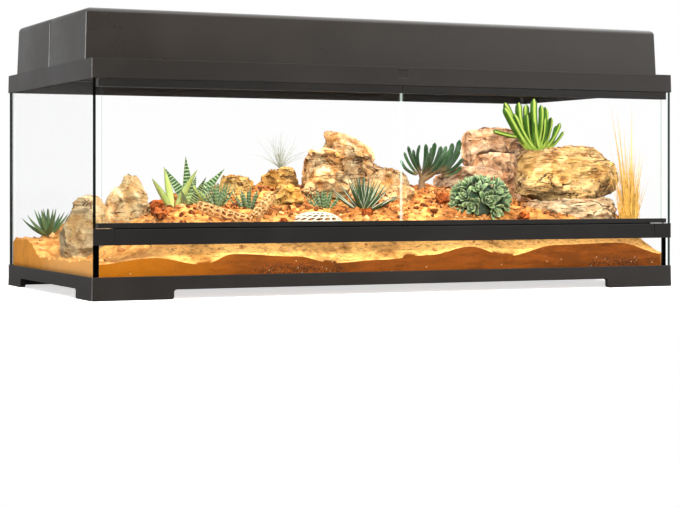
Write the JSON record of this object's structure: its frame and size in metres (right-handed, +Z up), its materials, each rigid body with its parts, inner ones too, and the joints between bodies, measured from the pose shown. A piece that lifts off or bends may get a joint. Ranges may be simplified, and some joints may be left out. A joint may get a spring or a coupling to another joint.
{
  "type": "reptile terrarium",
  "caption": "Low wide glass tank with front doors, a tilting bar, a lift-out screen, lamp hoods and a planted desert landscape of sand and rocks.",
  "frame": {"origin": "on the floor, under the middle of the base", "axes": "+X to the right along the tank's length, +Y to the rear, +Z up; the doors face -Y"},
  "size_m": [0.9, 0.45, 0.3873],
  "materials": {
    "frame_plastic": "fine moulded grain",
    "bar_plastic": "fine moulded grain",
    "hood_plastic": "fine moulded grain, slightly satin",
    "glass": "clear float glass, green edges",
    "silicone": "black sealant, satin",
    "steel_pin": "ground",
    "screen_plastic": "moulded",
    "steel_net": "black coated wire",
    "gate_plastic": "moulded",
    "rocker_plastic": "polished",
    "grommet_rubber": "soft",
    "reflector_metal": "bright rolled",
    "lamp_glass": "frosted",
    "holder_plastic": "white",
    "ballast_metal": "zinc plated",
    "sand": "pale grit over red soil",
    "pale_stone": "rough sandstone",
    "strata_stone": "layered sandstone",
    "red_stone": "rough red stone",
    "green_leaf": "waxy leaf",
    "striped_leaf": "waxy leaf with pale edges",
    "blue_leaf": "powdery blue green leaf",
    "bright_leaf": "yellow green leaf",
    "dry_stalk": "dry grass",
    "silver_strand": "scaly grey green",
    "dead_wood": "bleached cactus wood",
    "ceramic_white": "unglazed"
  },
  "bodies": {
    "tank": {"base_frame": "frame_plastic", "top_frame": "frame_plastic", "front_rail": "frame_plastic", "left_end_cap": "bar_plastic", "right_end_cap": "bar_plastic", "left_glass": "glass", "right_glass": "glass", "back_glass": "glass", "front_lower_glass": "glass", "bottom_glass": "glass", "silicone_seams": "silicone", "sand_bed": "sand", "tower_rock": "pale_stone", "left_boulder": "pale_stone", "wedge_rock": "pale_stone", "ledge_rock": "pale_stone", "rear_rocks": "strata_stone", "low_rocks": "pale_stone", "layered_rock": "strata_stone", "red_stones": "red_stone", "left_haworthia": "green_leaf", "striped_aloe": "striped_leaf", "small_haworthias": "green_leaf", "agave": "striped_leaf", "echeveria_cluster": "blue_leaf", "finger_succulent": "green_leaf", "finger_jade": "bright_leaf", "air_plant": "silver_strand", "dry_grass": "dry_stalk", "cholla_wood": "dead_wood", "perforated_dome": "ceramic_white"},
    "left_door": {"left_door_glass": "glass", "left_door_top_profile": "frame_plastic", "left_door_bottom_profile": "frame_plastic", "left_door_pins": "steel_pin"},
    "left_gate": {"left_inlet_gate": "gate_plastic"},
    "right_door": {"right_door_glass": "glass", "right_door_top_profile": "frame_plastic", "right_door_bottom_profile": "frame_plastic", "right_door_pins": "steel_pin"},
    "right_gate": {"right_inlet_gate": "gate_plastic"},
    "lock_bar": {"lock_bar": "bar_plastic", "lock_bar_pins": "steel_pin"},
    "screen": {"screen_frame": "screen_plastic", "screen_mesh": "steel_net"},
    "front_hood": {"front_hood_shell": "hood_plastic", "front_hood_cable_grommet": "grommet_rubber", "front_hood_reflector": "reflector_metal", "front_hood_lamp_holders": "holder_plastic", "front_hood_lamp": "lamp_glass", "front_hood_ballast": "ballast_metal"},
    "front_hood_rocker": {"front_hood_rocker": "rocker_plastic"},
    "rear_hood": {"rear_hood_shell": "hood_plastic", "rear_hood_cable_grommet": "grommet_rubber", "rear_hood_reflector": "reflector_metal", "rear_hood_lamp_holders": "holder_plastic", "rear_hood_lamp": "lamp_glass", "rear_hood_ballast": "ballast_metal"},
    "rear_hood_rocker": {"rear_hood_rocker": "rocker_plastic"}
  },
  "joints": [
    {"name": "left_door_hinge", "type": "hinge", "parent": "tank", "child": "left_door", "pos_m": [-0.4376, -0.2189, 0.1931], "axis": [0, 0, -1], "range_deg": [0, 100]},
    {"name": "right_door_hinge", "type": "hinge", "parent": "tank", "child": "right_door", "pos_m": [0.4376, -0.2189, 0.1931], "axis": [0, 0, 1], "range_deg": [0, 100]},
    {"name": "lock_bar_tilt", "type": "hinge", "parent": "tank", "child": "lock_bar", "pos_m": [0, -0.2216, 0.0766], "axis": [1, 0, 0], "range_deg": [0, 30]},
    {"name": "screen_lift", "type": "slide", "parent": "tank", "child": "screen", "axis": [0, 0, 1], "range_m": [0, 0.08]},
    {"name": "front_hood_lift", "type": "slide", "parent": "screen", "child": "front_hood", "axis": [0, 0, 1], "range_m": [0, 0.1]},
    {"name": "rear_hood_lift", "type": "slide", "parent": "screen", "child": "rear_hood", "axis": [0, 0, 1], "range_m": [0, 0.1]},
    {"name": "front_rocker_press", "type": "hinge", "parent": "front_hood", "child": "front_hood_rocker", "pos_m": [0.44511, -0.0556, 0.3518], "axis": [0, 0, -1], "range_deg": [0, 14]},
    {"name": "rear_rocker_press", "type": "hinge", "parent": "rear_hood", "child": "rear_hood_rocker", "pos_m": [0.44511, 0.1274, 0.3518], "axis": [0, 0, -1], "range_deg": [0, 14]},
    {"name": "left_gate_slide", "type": "slide", "parent": "tank", "child": "left_gate", "axis": [1, 0, 0], "range_m": [0, 0.066]},
    {"name": "right_gate_slide", "type": "slide", "parent": "tank", "child": "right_gate", "axis": [-1, 0, 0], "range_m": [0, 0.066]}
  ]
}
